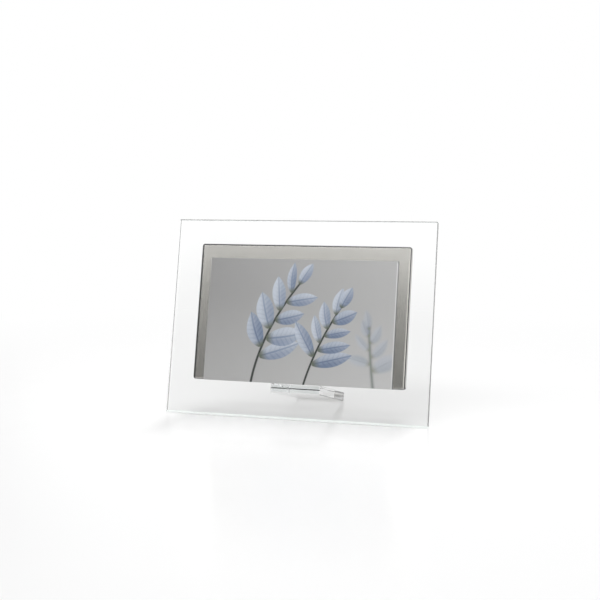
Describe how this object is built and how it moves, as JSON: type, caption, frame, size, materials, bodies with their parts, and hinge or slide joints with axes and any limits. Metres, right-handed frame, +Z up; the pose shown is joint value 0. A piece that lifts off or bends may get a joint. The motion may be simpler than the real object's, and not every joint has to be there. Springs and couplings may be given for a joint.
{
  "type": "clip frame",
  "caption": "Frameless desk picture frame: a clear glass pane leans back on a clear block, with a steel plate and a landscape print behind the glass.",
  "frame": {"origin": "middle of the glass pane's lower edge face, on the surface that the frame stands on", "axes": "+X to the right along the pane's width as seen from the front, +Y backwards to the block's foot, +Z up"},
  "size_m": [0.206, 0.0859, 0.1493],
  "materials": {
    "clear_glass": "polished, edges ground and polished",
    "printed_paper": "satin photographic print",
    "brushed_plate": "fine horizontal brushing",
    "clear_block": "clear acrylic, polished on every side",
    "clear_glue": "clear cured adhesive"
  },
  "bodies": {
    "stand": {"glass_pane": "clear_glass", "photo_plate": "brushed_plate", "clip_block": "clear_block", "glass_bond": "clear_glue", "plate_bond": "clear_glue"},
    "print": {"photo_print": "printed_paper"}
  },
  "joints": [
    {"name": "print_slide", "type": "slide", "parent": "stand", "child": "print", "axis": [0, 0.2164, 0.9763], "range_m": [0, 0.107]}
  ]
}
